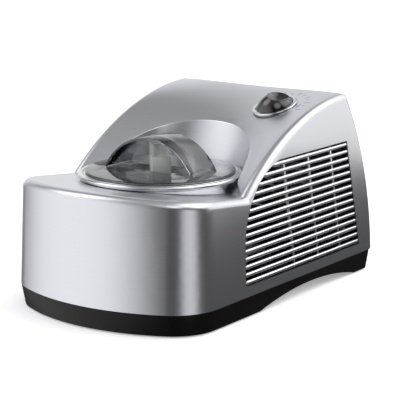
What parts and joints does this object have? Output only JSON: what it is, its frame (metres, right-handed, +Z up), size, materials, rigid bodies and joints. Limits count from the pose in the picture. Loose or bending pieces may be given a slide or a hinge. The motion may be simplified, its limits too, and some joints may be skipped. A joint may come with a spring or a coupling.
{
  "type": "ice cream maker",
  "caption": "Compressor ice cream maker: hooded silver housing on a black base, louvred sides, lift-out bowl with driven paddle, clear lid with arched handle, control knob.",
  "frame": {"origin": "on the table, under the middle of the machine's outline", "axes": "+Z up, +Y towards the rear wall, +X to the right of someone facing the front"},
  "size_m": [0.27, 0.43, 0.2357],
  "materials": {
    "silver_shell": "satin metallic paint with fine brushing",
    "black_plastic": "satin moulded black",
    "knob_black": "glossy black",
    "black_rubber": "matt rubber",
    "collar_plastic": "polished pale silver",
    "clear_lid": "clear, polished",
    "pale_plastic": "moulded, satin",
    "stainless": "brushed",
    "zinc_steel": "bright zinc",
    "aluminium": "mill finish",
    "copper": "bright drawn tube",
    "bearing_bronze": "sintered",
    "black_enamel": "baked black",
    "foam": "foamed in place"
  },
  "bodies": {
    "cabinet": {"housing": "silver_shell", "side_grille_right": "silver_shell", "side_grille_left": "silver_shell", "rear_vent_panel": "silver_shell", "base_tray": "black_plastic", "cord_gland": "black_plastic", "knob_bezel": "black_plastic", "fan_shroud": "black_plastic", "timer_switch": "black_plastic", "control_box": "black_plastic", "terminal_block": "black_plastic", "rubber_feet": "black_rubber", "compressor_grommets": "black_rubber", "well_gasket": "black_rubber", "shaft_seal": "black_rubber", "bowl_collar": "collar_plastic", "gearbox_base": "pale_plastic", "gearbox_cover": "pale_plastic", "freezing_well": "stainless", "idler_pin": "stainless", "foot_screws": "zinc_steel", "gearbox_screws": "zinc_steel", "switch_nut": "zinc_steel", "evaporator_sleeve": "aluminium", "condenser": "aluminium", "fan_bracket": "aluminium", "filter_drier": "copper", "suction_tube": "copper", "discharge_tube": "copper", "shaft_bush": "bearing_bronze", "compressor": "black_enamel", "drive_motor": "black_enamel", "fan_motor": "black_enamel", "insulation_jacket": "foam"},
    "drive": {"output_gear": "pale_plastic", "drive_shaft": "stainless"},
    "idler": {"idler_gear": "pale_plastic"},
    "pinion": {"motor_pinion": "pale_plastic"},
    "bowl": {"ice_cream_bowl": "stainless"},
    "paddle": {"mixing_paddle": "pale_plastic"},
    "lid": {"lid": "clear_lid"},
    "fan": {"fan_blade": "black_plastic"},
    "knob": {"control_knob": "knob_black", "knob_spindle": "stainless"}
  },
  "joints": [
    {"name": "drive_spin", "type": "hinge", "parent": "cabinet", "child": "drive", "pos_m": [0, -0.062, 0.03], "axis": [0, 0, 1], "continuous": true},
    {"name": "idler_spin", "type": "hinge", "parent": "cabinet", "child": "idler", "pos_m": [0, 0.0103, 0.035], "axis": [0, 0, 1], "continuous": true},
    {"name": "pinion_spin", "type": "hinge", "parent": "cabinet", "child": "pinion", "pos_m": [0, 0.0721, 0.04], "axis": [0, 0, 1], "continuous": true},
    {"name": "bowl_lift", "type": "slide", "parent": "cabinet", "child": "bowl", "axis": [0, 0, 1], "range_m": [0, 0.13]},
    {"name": "paddle_spin", "type": "hinge", "parent": "bowl", "child": "paddle", "pos_m": [0, -0.062, 0.1], "axis": [0, 0, 1], "continuous": true},
    {"name": "lid_lift", "type": "slide", "parent": "bowl", "child": "lid", "axis": [0, 0, 1], "range_m": [0, 0.12]},
    {"name": "fan_spin", "type": "hinge", "parent": "cabinet", "child": "fan", "pos_m": [0.08, 0.105, 0.084], "axis": [1, 0, 0], "continuous": true},
    {"name": "knob_turn", "type": "hinge", "parent": "cabinet", "child": "knob", "pos_m": [0.062, 0.089, 0.21926], "axis": [-0.0909, -0.322, 0.9424], "range_deg": [0, 300]}
  ],
  "couplings": [
    {"joint": "idler_spin", "follows": "drive_spin", "ratio": -4.3333},
    {"joint": "pinion_spin", "follows": "drive_spin", "ratio": 15.407},
    {"joint": "paddle_spin", "follows": "drive_spin", "ratio": 1}
  ]
}
